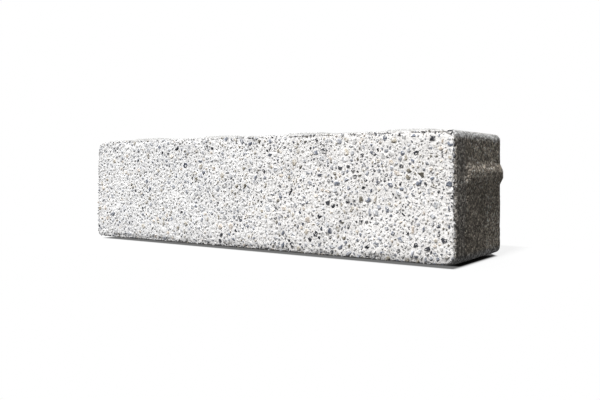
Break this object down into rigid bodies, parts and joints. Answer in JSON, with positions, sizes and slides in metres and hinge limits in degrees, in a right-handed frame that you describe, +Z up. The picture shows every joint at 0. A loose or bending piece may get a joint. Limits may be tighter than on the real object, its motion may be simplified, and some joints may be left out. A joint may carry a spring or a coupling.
{
  "type": "concrete paving stone",
  "caption": "Long square-section concrete paving stone with an exposed-stone wearing face, rounded plan corners and spacer nibs.",
  "frame": {"origin": "under the middle of the stone, on the plane that its lower spacer nibs stand on", "axes": "+Z up as the stone stands on one long side, +X along the stone, -Y out of the wearing face, +Y out of the bed"},
  "size_m": [0.3244, 0.08, 0.0844],
  "materials": {
    "concrete": "rough"
  },
  "bodies": {
    "root": {"paving_stone": "concrete"}
  },
  "joints": []
}
